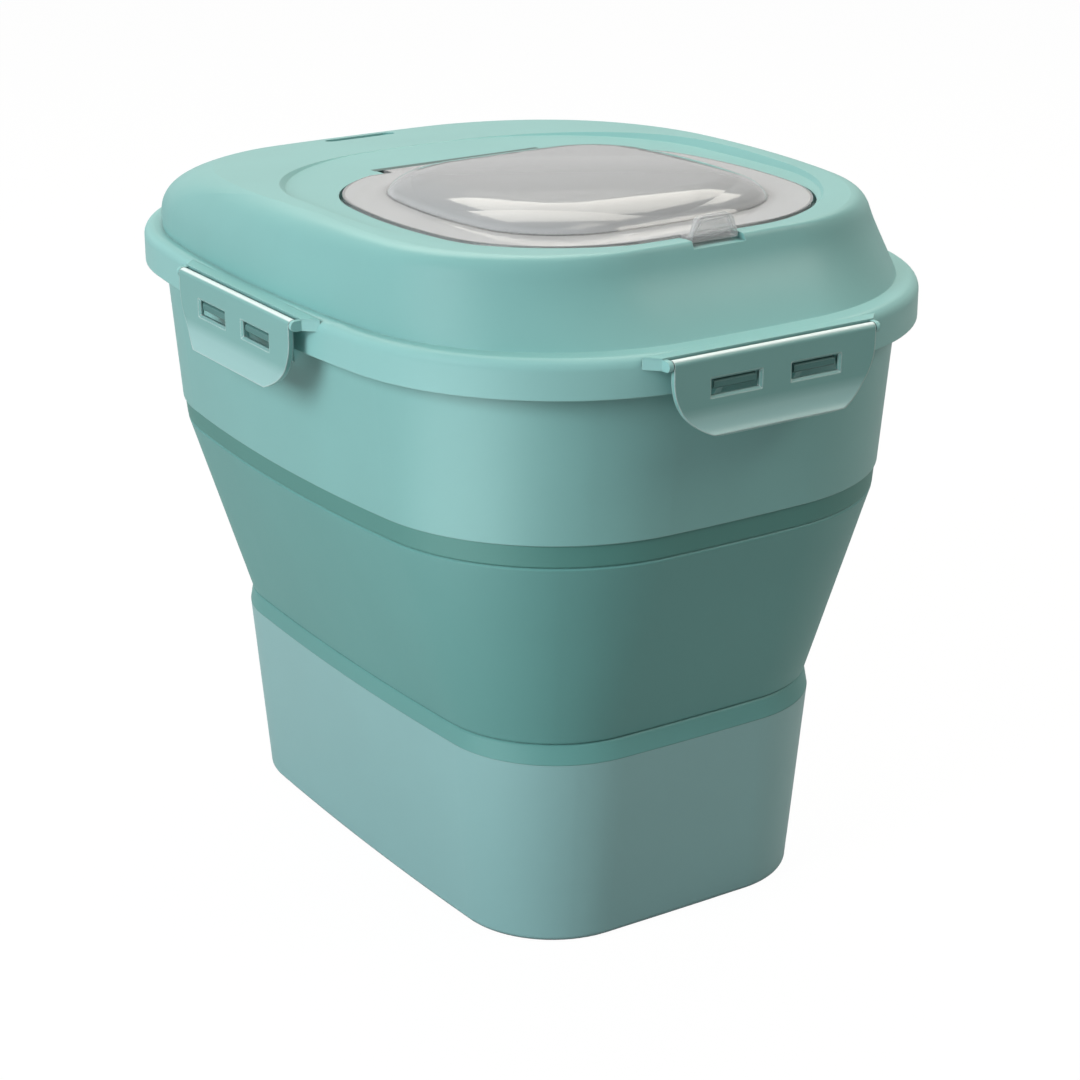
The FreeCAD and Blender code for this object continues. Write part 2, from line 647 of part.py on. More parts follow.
def hatch_cover():
    """Clear hatch: flange, raised middle, plug rib, hinge barrel and pull tab."""
    flange = prism(HATCH, FLANGE_LOW, HATCH_PROUD).cut(behind(SHOULDER))
    rib_outer = inset(OPENING, PLUG_RIB_GAP)
    rib = ring(rib_outer, inset(rib_outer, PLUG_RIB), FLANGE_LOW - PLUG_RIB_DEEP, FLANGE_LOW)
    barrel = rod(-BARREL_HALF, BARREL_HALF, 0.0, BARREL_Z, BARREL_RADIUS)
    web = block(-BARREL_HALF, BARREL_HALF, -WEB_LONG, 0.0, FLANGE_LOW, HATCH_PROUD)
    cover = flange.fuse(pillow(0.0, PILLOW_RISE)).fuse(web).fuse(barrel).fuse(rib).fuse(tab())
    bore = rod(-HIGH, HIGH, 0.0, BARREL_Z, PIN_RADIUS + PIN_RUN)
    hollow = pillow(HATCH_THICK, PILLOW_RISE - HATCH_THICK)
    under = prism(inset(HATCH, PILLOW_SET_IN + HATCH_THICK), FLANGE_LOW - PAST, FLANGE_LOW + TOUCH)
    cover = cover.cut(hollow).cut(under).cut(bore)
    return on_lid(cover)


def hatch_seal():
    """Soft ring under the hatch flange."""
    outer = inset(HATCH, SEAL_OUTER_SET_IN)
    return on_lid(ring(outer, inset(outer, SEAL_WIDE), -RECESS_DEEP, FLANGE_LOW))


def hatch_pin():
    return on_lid(rod(-PIN_HALF, PIN_HALF, 0.0, BARREL_Z, PIN_RADIUS))


def latch_profile():
    """Side view of the plate: straight, then a lip that curls outward."""
    swing = 2.0 * math.atan2(LIP_OUT, LIP_DROP)
    bend = LIP_DROP / math.sin(swing)
    inner = arc_yz(bend, -PLATE_DROP, bend, swing)
    outer = arc_yz(bend, -PLATE_DROP, bend - PLATE_THICK, swing)
    edges = [Part.makeLine(V(0, 0, 0), inner[0]), Part.Arc(*inner).toShape(),
             Part.makeLine(inner[2], outer[2]), Part.Arc(*outer).toShape(),
             Part.makeLine(outer[0], V(0, -PLATE_THICK, 0)),
             Part.makeLine(V(0, -PLATE_THICK, 0), V(0, 0, 0))]
    return Part.Face(Part.Wire(Part.__sortEdges__(edges)))


def arc_yz(centre, z, radius, swing):
    """Three points of the lip's arc; it starts upright and swings outward, to -Y."""
    points = []
    for a in (0.0, 0.5 * swing, swing):
        points.append(V(0, -(centre - radius * math.cos(a)), z - radius * math.sin(a)))
    return points


def latch_outline():
    """Front view of the plate as a slug: square top, large round lower corners."""
    low = -PLATE_DROP - LIP_DROP
    top = BEAD_RADIUS
    k = LATCH_CORNER * (1.0 - math.sqrt(0.5))
    y = HIGH
    a, b = V(-LATCH_HALF, y, top), V(LATCH_HALF, y, top)
    c, d = V(LATCH_HALF, y, low + LATCH_CORNER), V(LATCH_HALF - LATCH_CORNER, y, low)
    e, f = V(-LATCH_HALF + LATCH_CORNER, y, low), V(-LATCH_HALF, y, low + LATCH_CORNER)
    edges = [Part.makeLine(a, b), Part.makeLine(b, c),
             Part.Arc(c, V(LATCH_HALF - k, y, low + k), d).toShape(),
             Part.makeLine(d, e),
             Part.Arc(e, V(-LATCH_HALF + k, y, low + k), f).toShape(),
             Part.makeLine(f, a)]
    return Part.Face(Part.Wire(edges)).extrude(V(0, -2 * HIGH, 0))


def window(x):
    """Catch window with a bevelled outer edge."""
    z = -WINDOW_TOP - 0.5 * WINDOW_TALL
    hole = block(x - 0.5 * WINDOW_WIDE, x + 0.5 * WINDOW_WIDE, -HIGH, HIGH,
                 z - 0.5 * WINDOW_TALL, z + 0.5 * WINDOW_TALL)
    wires = []
    for grow, y in ((0.0, -PLATE_THICK + WINDOW_BEVEL), (WINDOW_BEVEL, -PLATE_THICK)):
        w, h = 0.5 * WINDOW_WIDE + grow, 0.5 * WINDOW_TALL + grow
        wires.append(Part.makePolygon([V(x - w, y, z - h), V(x + w, y, z - h), V(x + w, y, z + h),
                                       V(x - w, y, z + h), V(x - w, y, z - h)]))
    return hole.fuse(Part.makeLoft(wires, True, True))


def latch(side):
    """Hanging latch: hinge bead with trunnions, plate with two windows, finger lip."""
    plate = latch_profile().extrude(V(2 * LATCH_HALF, 0, 0)).translated(V(-LATCH_HALF, 0, 0))
    plate = plate.fuse(rod(-LATCH_HALF, LATCH_HALF, 0.0, 0.0, BEAD_RADIUS))
    plate = plate.common(latch_outline())
    for x in (-0.5 * WINDOW_PITCH, 0.5 * WINDOW_PITCH):
        plate = plate.cut(window(x))
    reach = LATCH_HALF + TRUNNION_LONG
    plate = plate.fuse(rod(-reach, reach, 0.0, 0.0, TRUNNION_RADIUS)).removeSplitter()
    return placed(plate.translated(V(0, -side.reach - AXIS_OUT, AXIS_Z)), side)


def write(name, shape):
    shape.exportStep("parts/" + name + ".step")


write("base_tub", base_tub())
write("fold_wall", fold_wall())
write("upper_ring", upper_ring())
write("lid_gasket", lid_gasket())
write("lid_shell", lid_shell())
write("hatch_cover", hatch_cover())
write("hatch_seal", hatch_seal())
write("hatch_hinge_pin", hatch_pin())
for place, where in SIDES.items():
    write("latch_" + place, latch(where))
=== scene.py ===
# %% [markdown]
# # A folding rice bin, dressed around its CAD frame
#
# The real object is a moulded kitchen bin. A rigid tub stands on the floor, a rigid ring carries the
# rim, and a soft wall between them turns inside out when the bin is folded away. A domed lid snaps
# down with four latches and has a clear flip hatch. The solids come from CAD at their real size, so
# nothing here moves or resizes them: this script gives every surface its finish, models the soft
# pieces as meshes, and sets up the light and the camera.

# %% Load the frame
import json
import math

import bpy
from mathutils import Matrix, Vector


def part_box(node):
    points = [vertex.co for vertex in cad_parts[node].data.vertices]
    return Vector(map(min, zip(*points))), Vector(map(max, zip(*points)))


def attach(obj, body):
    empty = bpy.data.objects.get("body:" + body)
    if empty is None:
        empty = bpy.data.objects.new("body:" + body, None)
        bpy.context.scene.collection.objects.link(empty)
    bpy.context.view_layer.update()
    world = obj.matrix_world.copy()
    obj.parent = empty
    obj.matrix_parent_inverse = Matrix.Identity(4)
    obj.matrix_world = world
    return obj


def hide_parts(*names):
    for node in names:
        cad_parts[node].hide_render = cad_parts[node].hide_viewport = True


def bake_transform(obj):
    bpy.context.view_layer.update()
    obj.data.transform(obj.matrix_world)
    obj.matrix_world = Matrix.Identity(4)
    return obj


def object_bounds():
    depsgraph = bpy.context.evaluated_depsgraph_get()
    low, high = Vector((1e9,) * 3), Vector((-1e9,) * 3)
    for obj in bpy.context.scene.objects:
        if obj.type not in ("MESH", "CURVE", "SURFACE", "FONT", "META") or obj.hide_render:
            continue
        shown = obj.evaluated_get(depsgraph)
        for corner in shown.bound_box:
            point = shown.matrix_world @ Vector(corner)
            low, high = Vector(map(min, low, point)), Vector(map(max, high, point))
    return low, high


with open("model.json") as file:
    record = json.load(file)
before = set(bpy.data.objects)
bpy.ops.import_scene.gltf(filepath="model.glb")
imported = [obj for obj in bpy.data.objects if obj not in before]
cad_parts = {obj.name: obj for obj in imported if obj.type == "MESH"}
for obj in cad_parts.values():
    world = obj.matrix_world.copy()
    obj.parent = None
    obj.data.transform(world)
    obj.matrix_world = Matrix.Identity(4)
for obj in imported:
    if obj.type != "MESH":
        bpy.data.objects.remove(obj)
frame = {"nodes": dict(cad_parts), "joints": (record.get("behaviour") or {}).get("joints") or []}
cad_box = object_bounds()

scene = bpy.context.scene
nodes = frame["nodes"]
print("nodes:", sorted(nodes))
print("CAD box, mm:", [round(1000 * c, 1) for corner in cad_box for c in corner])

# %% [markdown]
# ## Camera
#
# The view is three quarters from the front left, a little above the lid, through a long lens from
# about 1.3 metres away. The camera is placed by its azimuth and elevation round a target point, so
# each number can be read as a real angle or distance. The lens and the sensor are in millimetres.

# %% Place the camera
AZIMUTH = math.radians(-33.15)
ELEVATION = math.radians(20.47)
DISTANCE = 1.3258
TARGET_HEIGHT = 0.1442
TARGET_RIGHT = 0.0110
SENSOR = 36.0
LENS = 89.07

back = Vector((math.sin(AZIMUTH) * math.cos(ELEVATION),
               -math.cos(AZIMUTH) * math.cos(ELEVATION), math.sin(ELEVATION)))
right = Vector((math.cos(AZIMUTH), math.sin(AZIMUTH), 0.0))
target = Vector((0.0, 0.0, TARGET_HEIGHT)) + right * TARGET_RIGHT
bpy.ops.object.camera_add(location=target + back * DISTANCE)
camera = bpy.context.object
camera.name = "photo_camera"
camera.rotation_mode = "QUATERNION"
camera.rotation_quaternion = back.to_track_quat("Z", "Y")
camera.data.sensor_width = SENSOR
camera.data.lens = LENS
scene.camera = camera
scene.view_settings.view_transform = "Standard"
print("camera at", [round(c, 3) for c in camera.location])

# %% [markdown]
# ## Node helpers
#
# A material is a small graph. Writing one in code is tidier with a few helpers: one adds a node and
# sets its inputs by name, one starts a material with a plain Principled shader, two make and place
# node groups, and the last ones build masks, mix colours and hand a material to CAD nodes. Numbers
# that are the same all over a surface go straight onto the shader's own sockets.


# %% Helpers for node graphs
def add_node(tree, kind, settings=None, **inputs):
    """Add a node, set its properties from settings and its sockets from the named inputs."""
    node = tree.nodes.new(kind)
    for key, value in (settings or {}).items():
        setattr(node, key, value)
    for key, value in inputs.items():
        node.inputs[key.replace("_", " ")].default_value = value
    return node


def new_material(name, colour, roughness, **sockets):
    """A material with one Principled shader; returns the material, its tree and the shader."""
    material = bpy.data.materials.new(name)
    material.use_nodes = True
    tree = material.node_tree
    shader = tree.nodes["Principled BSDF"]
    shader.inputs["Base Color"].default_value = (*colour, 1.0)
    shader.inputs["Roughness"].default_value = roughness
    for key, value in sockets.items():
        shader.inputs[key.replace("_", " ")].default_value = value
    return material, tree, shader


def new_group(name, inputs, outputs):
    """An empty shader node group with named sockets; returns its tree, input node and output node."""
    tree = bpy.data.node_groups.new(name, "ShaderNodeTree")
    for label, kind, value in inputs:
        socket = tree.interface.new_socket(label, in_out="INPUT", socket_type=kind)
        socket.default_value = value
    for label, kind in outputs:
        tree.interface.new_socket(label, in_out="OUTPUT", socket_type=kind)
    return tree, tree.nodes.new("NodeGroupInput"), tree.nodes.new("NodeGroupOutput")


def place_group(tree, group, **inputs):
    """Put a node group into a material with its own values."""
    node = tree.nodes.new("ShaderNodeGroup")
    node.node_tree = group
    for key, value in inputs.items():
        node.inputs[key.replace("_", " ")].default_value = value
    return node


def ramp(tree, value, start, end):
    """A value that runs from 0 to 1 as its input goes from start to end."""
    node = add_node(tree, "ShaderNodeMapRange", From_Min=start, From_Max=end)
    tree.links.new(value, node.inputs["Value"])
    return node.outputs["Result"]


def blend_colour(tree, factor, a, b):
    """Mix two colours by a mask; a may be a socket or a colour."""
    node = add_node(tree, "ShaderNodeMix", {"data_type": "RGBA"})
    tree.links.new(factor, node.inputs["Factor"])
    if isinstance(a, tuple):
        node.inputs["A"].default_value = (*a, 1.0)
    else:
        tree.links.new(a, node.inputs["A"])
    node.inputs["B"].default_value = (*b, 1.0)
    return node.outputs["Result"]


def give(material, *names):
    """Put one material on every slot of the named CAD nodes."""
    for name in names:
        mesh = nodes[name].data
        mesh.materials.clear()
        mesh.materials.append(material)


# %% [markdown]
# ## Moulded skin
#
# Injection-moulded polypropylene is never one flat colour. The pigment is a little uneven over a
# hand's width, the mould has a fine spark-eroded grain, and the wall pulls in and out by a few
# hundredths of a millimetre as it cools. All the plastics share this, so it is one node group that
# puts out a colour, a roughness and a height, and each material gives it its own values.


# %% Moulded skin node group
CLOUD_SCALE = 11.0
SINK_SCALE = 34.0
GRAIN_SHARE = 0.25


def moulded_skin():
    """A node group: mottled colour, uneven roughness and the height of grain and sink marks."""
    group, given, out = new_group(
        "moulded skin",
        [("Colour", "NodeSocketColor", (0.5, 0.5, 0.5, 1.0)),
         ("Mottle", "NodeSocketFloat", 0.05),
         ("Grain Scale", "NodeSocketFloat", 1500.0),
         ("Roughness", "NodeSocketFloat", 0.4),
         ("Roughness Spread", "NodeSocketFloat", 0.06)],
        [("Colour", "NodeSocketColor"), ("Roughness", "NodeSocketFloat"),
         ("Height", "NodeSocketFloat")])
    link = group.links.new
    place = add_node(group, "ShaderNodeTexCoord")
    cloud = add_node(group, "ShaderNodeTexNoise", Scale=CLOUD_SCALE, Detail=3.0, Roughness=0.55)
    grain = add_node(group, "ShaderNodeTexNoise", Detail=2.0, Roughness=0.6)
    sink = add_node(group, "ShaderNodeTexNoise", Scale=SINK_SCALE, Detail=1.0)
    for texture in (cloud, grain, sink):
        link(place.outputs["Object"], texture.inputs["Vector"])
    link(given.outputs["Grain Scale"], grain.inputs["Scale"])

    centred = add_node(group, "ShaderNodeMath", {"operation": "SUBTRACT"})
    centred.inputs[1].default_value = 0.5
    link(cloud.outputs["Fac"], centred.inputs[0])
    shade = add_node(group, "ShaderNodeMath", {"operation": "MULTIPLY_ADD"})
    link(centred.outputs[0], shade.inputs[0])
    link(given.outputs["Mottle"], shade.inputs[1])
    shade.inputs[2].default_value = 1.0
    tint = add_node(group, "ShaderNodeHueSaturation")
    link(given.outputs["Colour"], tint.inputs["Color"])
    link(shade.outputs[0], tint.inputs["Value"])
    link(tint.outputs["Color"], out.inputs["Colour"])

    speck = add_node(group, "ShaderNodeMath", {"operation": "SUBTRACT"})
    speck.inputs[1].default_value = 0.5
    link(grain.outputs["Fac"], speck.inputs[0])
    rough = add_node(group, "ShaderNodeMath", {"operation": "MULTIPLY_ADD"})
    link(speck.outputs[0], rough.inputs[0])
    link(given.outputs["Roughness Spread"], rough.inputs[1])
    link(given.outputs["Roughness"], rough.inputs[2])
    link(rough.outputs[0], out.inputs["Roughness"])

    height = add_node(group, "ShaderNodeMath", {"operation": "MULTIPLY_ADD"})
    link(grain.outputs["Fac"], height.inputs[0])
    height.inputs[1].default_value = GRAIN_SHARE
    link(sink.outputs["Fac"], height.inputs[2])
    link(height.outputs[0], out.inputs["Height"])
    return group


SKIN = moulded_skin()

# %% [markdown]
# ## Softened edges
#
# A moulding has no knife edges: every corner has a small radius that catches the light. The Bevel
# node finds what lies within a given radius of the shaded point and rounds the normal there. How far
# that normal leans away from the true one is also a mask of the edges, which the plastics use to
# paint a pale highlight along them.


# %% Edge node group
def soft_edge():
    """A node group: a mask of the edges and a normal that is rounded over them."""
    group, given, out = new_group(
        "soft edge",
        [("Radius", "NodeSocketFloat", 0.0006), ("Strength", "NodeSocketFloat", 1.0)],
        [("Edge", "NodeSocketFloat"), ("Normal", "NodeSocketVector")])
    link = group.links.new
    rounded = add_node(group, "ShaderNodeBevel", {"samples": 4})
    link(given.outputs["Radius"], rounded.inputs["Radius"])
    true = add_node(group, "ShaderNodeNewGeometry")
    alike = add_node(group, "ShaderNodeVectorMath", {"operation": "DOT_PRODUCT"})
    link(rounded.outputs["Normal"], alike.inputs[0])
    link(true.outputs["Normal"], alike.inputs[1])
    lean = add_node(group, "ShaderNodeMath", {"operation": "SUBTRACT", "use_clamp": True})
    lean.inputs[0].default_value = 1.0
    link(alike.outputs["Value"], lean.inputs[1])
    mask = add_node(group, "ShaderNodeMath", {"operation": "MULTIPLY", "use_clamp": True})
    link(lean.outputs[0], mask.inputs[0])
    link(given.outputs["Strength"], mask.inputs[1])
    link(mask.outputs[0], out.inputs["Edge"])
    link(rounded.outputs["Normal"], out.inputs["Normal"])
    return group


EDGE = soft_edge()

# %% [markdown]
# ## Plastics
# The lid, the ring and the latches are one mint polypropylene with a satin face. The tub is the same
# plastic in a bluer, greyer batch. The soft wall is a rubbery plastic in a deeper green, matt to the
# eye. One function makes them all from a colour, a roughness and the size of the grain; it also paints
# shade into narrow gaps and a pale highlight along the edges. Some have patches of another colour,
# each found by a mask in the piece's own coordinates, and all of them are painted light and shade:
# painted shade on the catch lugs of the ring, a painted sheen on the lid's rim, a painted shadow in
# the slit behind the hinge, and painted light on the lip and the bead of a latch.


# %% Moulded plastics
PP_IOR = 1.49
CREVICE = 0.005
CREVICE_DARK = 0.12
CREVICE_OPEN = 0.62
GRAIN_DEPTH = 0.0002
# A dark strip on the lid's top behind the hinge barrel: a painted shadow of the slit.
SLIT_MIDDLE = (0.0, 0.0540, 0.0)
SLIT_HALF = 0.0470
SLIT_FADE = 0.0005
SLIT_WIDE = 0.0030
SLIT_PAINTED_SHADOW = (0.030, 0.090, 0.082)
RING_WALL = (0.1398, 0.1858, 0.0)
LUG_START = 0.006
LUG_FULL = 0.008
LUG_TOPS = (0.2848, 0.2844)
# The catch lugs are painted darker than the ring: painted shade under the rim flange.
LUG_PAINTED_SHADE = (0.075, 0.205, 0.195)
MINT_COLOUR = (0.225, 0.485, 0.470)
MINT_EDGE_HIGHLIGHT = (0.40, 0.65, 0.63)
# The lid's rim band is painted paler: a painted sheen.
RIM_HEIGHTS = (0.2965, 0.2945)
RIM_PAINTED_SHEEN = (0.285, 0.575, 0.560)
# The latch's lip is painted paler: painted light on its outward curl.
LIP_HEIGHTS = (0.2735, 0.2685)
LIP_PAINTED_LIGHT = (0.34, 0.58, 0.57)
# The latch's bead along its top edge is painted near white: a painted highlight.
BEAD_HEIGHTS = (0.2945, 0.2950)
BEAD_PAINTED_HIGHLIGHT = (0.80, 0.92, 0.91)


def painted_crevice_shade(tree, colour):
    """Darken a colour in narrow gaps, found by ambient occlusion: painted shade."""
    open_sky = add_node(tree, "ShaderNodeAmbientOcclusion", {"samples": 6}, Distance=CREVICE)
    share = add_node(tree, "ShaderNodeMapRange", From_Min=CREVICE_DARK, From_Max=CREVICE_OPEN,
                     To_Min=CREVICE_DARK)
    tree.links.new(open_sky.outputs["AO"], share.inputs["Value"])
    shade = add_node(tree, "ShaderNodeMix", {"data_type": "RGBA", "blend_type": "MULTIPLY"})
    shade.inputs["Factor"].default_value = 1.0
    tree.links.new(colour, shade.inputs["A"])
    tree.links.new(share.outputs["Result"], shade.inputs["B"])
    return shade.outputs["Result"]


def plastic(name, colour, pale, roughness, mottle, grain_scale, bump, edge=2.0, radius=0.0006,
            patches=()):
    """Pigmented plastic: mottled, finely grained, with a painted highlight at its edges, painted shade
    in its gaps and patches of painted light and shade.
    """
    material, tree, shader = new_material(name, colour, roughness, IOR=PP_IOR)
    link = tree.links.new
    skin = place_group(tree, SKIN, Colour=(*colour, 1.0), Mottle=mottle, Grain_Scale=grain_scale,
                       Roughness=roughness)
    rim = place_group(tree, EDGE, Radius=radius, Strength=edge)
    shown = skin.outputs["Colour"]
    for find, patch_colour in patches:
        shown = blend_colour(tree, find(tree), shown, patch_colour)
    # Edges are painted paler: a painted highlight.
    shown = blend_colour(tree, rim.outputs["Edge"], shown, pale)
    # Narrow gaps get painted shade, found by ambient occlusion.
    link(painted_crevice_shade(tree, shown), shader.inputs["Base Color"])
    link(skin.outputs["Roughness"], shader.inputs["Roughness"])
    relief = add_node(tree, "ShaderNodeBump", Strength=bump, Distance=GRAIN_DEPTH)
    link(skin.outputs["Height"], relief.inputs["Height"])
    link(rim.outputs["Normal"], relief.inputs["Normal"])
    link(relief.outputs["Normal"], shader.inputs["Normal"])
    return material


def by_height(start, end):
    """A mask maker: 0 as far as the first height and 1 from the second on, up or down."""
    def mask(tree):
        axes = add_node(tree, "ShaderNodeSeparateXYZ")
        tree.links.new(add_node(tree, "ShaderNodeTexCoord").outputs["Object"], axes.inputs[0])
        return ramp(tree, axes.outputs["Z"], start, end)
    return mask


def hinge_slit_shadow(tree):
    """A mask of the painted shadow of the slit behind the hatch's hinge barrel."""
    apart = add_node(tree, "ShaderNodeVectorMath", {"operation": "SUBTRACT"})
    tree.links.new(add_node(tree, "ShaderNodeTexCoord").outputs["Object"], apart.inputs[0])
    apart.inputs[1].default_value = SLIT_MIDDLE
    size = add_node(tree, "ShaderNodeVectorMath", {"operation": "ABSOLUTE"})
    tree.links.new(apart.outputs[0], size.inputs[0])
    axes = add_node(tree, "ShaderNodeSeparateXYZ")
    tree.links.new(size.outputs[0], axes.inputs[0])
    both = add_node(tree, "ShaderNodeMath", {"operation": "MULTIPLY"})
    tree.links.new(ramp(tree, axes.outputs["X"], SLIT_HALF + SLIT_FADE, SLIT_HALF), both.inputs[0])
    tree.links.new(ramp(tree, axes.outputs["Y"], SLIT_WIDE, 0.6 * SLIT_WIDE), both.inputs[1])
    return both.outputs[0]


def beyond_wall(tree):
    """A mask of the catch lugs: what stands out from the ring's wall, under its rim flange."""
    apart = add_node(tree, "ShaderNodeVectorMath", {"operation": "ABSOLUTE"})
    tree.links.new(add_node(tree, "ShaderNodeTexCoord").outputs["Object"], apart.inputs[0])
    past = add_node(tree, "ShaderNodeVectorMath", {"operation": "SUBTRACT"})
    tree.links.new(apart.outputs[0], past.inputs[0])
    past.inputs[1].default_value = RING_WALL
    axes = add_node(tree, "ShaderNodeSeparateXYZ")
    tree.links.new(past.outputs[0], axes.inputs[0])
    most = add_node(tree, "ShaderNodeMath", {"operation": "MAXIMUM"})
    tree.links.new(axes.outputs["X"], most.inputs[0])
    tree.links.new(axes.outputs["Y"], most.inputs[1])
    low = add_node(tree, "ShaderNodeMath", {"operation": "MULTIPLY"})
    tree.links.new(ramp(tree, most.outputs[0], LUG_START, LUG_FULL), low.inputs[0])
    tree.links.new(ramp(tree, axes.outputs["Z"], *LUG_TOPS), low.inputs[1])
    return low.outputs[0]


RING = plastic("mint_polypropylene", MINT_COLOUR, MINT_EDGE_HIGHLIGHT, roughness=0.42, mottle=0.14,
               grain_scale=1400.0, bump=0.20, patches=[(beyond_wall, LUG_PAINTED_SHADE)])
LID = plastic("mint_lid_polypropylene", MINT_COLOUR, MINT_EDGE_HIGHLIGHT, roughness=0.40, mottle=0.16,
              grain_scale=1400.0, bump=0.20,
              patches=[(by_height(*RIM_HEIGHTS), RIM_PAINTED_SHEEN), (hinge_slit_shadow, SLIT_PAINTED_SHADOW)])
TUB = plastic("blue_grey_polypropylene", (0.283, 0.520, 0.525), (0.45, 0.66, 0.66),
              roughness=0.40, mottle=0.10, grain_scale=1300.0, bump=0.22)
SOFT = plastic("soft_green_wall", (0.133, 0.360, 0.342), (0.22, 0.47, 0.45),
               roughness=0.46, mottle=0.12, grain_scale=900.0, bump=0.30, edge=1.2)
# The cuff is a deeper green for its thicker moulding, and darker still as painted shade under the
# ring's overhang.
CUFF_DEEP_AND_SHADED = plastic("soft_green_cuff_deep_and_shaded", (0.082, 0.262, 0.236), (0.15, 0.36, 0.33),
               roughness=0.50, mottle=0.12, grain_scale=900.0, bump=0.30, edge=1.2)
SEAL = plastic("pale_silicone", (0.72, 0.74, 0.73), (0.82, 0.83, 0.82),
               roughness=0.45, mottle=0.05, grain_scale=700.0, bump=0.15)
LATCH = plastic("polished_polypropylene", (0.205, 0.440, 0.422), (0.86, 0.95, 0.94),
                roughness=0.30, mottle=0.08, grain_scale=1600.0, bump=0.12, edge=4.0, radius=0.0009,
                patches=[(by_height(*LIP_HEIGHTS), LIP_PAINTED_LIGHT),
                         (by_height(*BEAD_HEIGHTS), BEAD_PAINTED_HIGHLIGHT)])
give(RING, "upper_ring")
give(LID, "lid_shell", "hatch_hinge_pin")
give(LATCH, "latch_front", "latch_right", "latch_back", "latch_left")
give(TUB, "base_tub")
print("plastics:", [m.name for m in (RING, LID, LATCH, TUB, SOFT, CUFF_DEEP_AND_SHADED, SEAL)])

# %% [markdown]
# ## Clear hatch
#
# The hatch is a clear plastic, a little smoky, polished on both faces. It is bright because it
# mirrors the white surroundings at a shallow angle, and grey where the dark bin shows through. A
# Principled shader with part of its weight in transmission gives both, and the colour paints them in
# too: the flange and the pull tab are painted paler than the smoky middle, a painted reflection. The
# raised middle has a low crown, made by tilting the normal. Light that runs inside such a plate comes
# out at its bends, which are drawn as a painted white highlight and a painted dark shade line, and the
# back of the hinge barrel is painted dark as shade. The thin pull tab is clearer than the rest, except
# at its edges.


# %% Clear plastic
SMOKE = (0.585, 0.60, 0.615)
# The flange and the tab are painted pale: a painted reflection of the white surroundings.
PAINTED_PALE_REFLECTION = (0.77, 0.785, 0.80)
CLEARNESS = 0.50
POLISH = 0.06
FLANGE_HEIGHT = 0.326
MIDDLE_RISE = (0.0010, 0.0040)
HINGE_LINE = 0.048
BARREL_FADE = 0.0006
HATCH_TILT = math.radians(-1.4)
TAB_FRONT = -0.1485
TAB_FADE = 0.001
HATCH_MIDDLE = -0.0500
CROWN_RADIUS = 0.075
CROWN = 1.2
RIM_RADIUS = 0.0008
LINE_RADIUS = 0.0028
# White and dark lines along the hatch's bends: a painted highlight and painted shade.
WHITE_PAINTED_HIGHLIGHT = (0.96, 0.96, 0.96)
WHITE_SPAN = (0.01, 0.04)
DARK_PAINTED_SHADE = (0.05, 0.055, 0.055)
DARK_SPAN = (0.09, 0.18)
TAB_ALPHA = 0.45
TAB_EDGE_SPAN = (0.10, 0.02)


def hatch_masks(tree):
    """Masks of the raised middle, the pull tab and the barrel's back, which gets painted shade, and the
    height of the crown.
    """
    place = add_node(tree, "ShaderNodeTexCoord")
    level = add_node(tree, "ShaderNodeVectorRotate", {"rotation_type": "X_AXIS"}, Angle=-HATCH_TILT,
                     Center=(0.0, HINGE_LINE, FLANGE_HEIGHT))
    tree.links.new(place.outputs["Object"], level.inputs["Vector"])
    axes = add_node(tree, "ShaderNodeSeparateXYZ")
    tree.links.new(level.outputs[0], axes.inputs[0])
    raised = ramp(tree, axes.outputs["Z"], *(FLANGE_HEIGHT + rise for rise in MIDDLE_RISE))
    flat = add_node(tree, "ShaderNodeVectorMath", {"operation": "MULTIPLY_ADD"})
    tree.links.new(level.outputs[0], flat.inputs[0])
    flat.inputs[1].default_value = (1.0, 1.0, 0.0)
    flat.inputs[2].default_value = (0.0, -HATCH_MIDDLE, 0.0)
    square = add_node(tree, "ShaderNodeVectorMath", {"operation": "DOT_PRODUCT"})
    tree.links.new(flat.outputs[0], square.inputs[0])
    tree.links.new(flat.outputs[0], square.inputs[1])
    crown = add_node(tree, "ShaderNodeMapRange", From_Max=CROWN_RADIUS ** 2,
                     To_Max=-CROWN * CROWN_RADIUS ** 2)
    tree.links.new(square.outputs["Value"], crown.inputs["Value"])
    tab = ramp(tree, axes.outputs["Y"], TAB_FRONT + TAB_FADE, TAB_FRONT)
    barrel = ramp(tree, axes.outputs["Y"], HINGE_LINE, HINGE_LINE + BARREL_FADE)
    return raised, tab, barrel, crown.outputs["Result"]


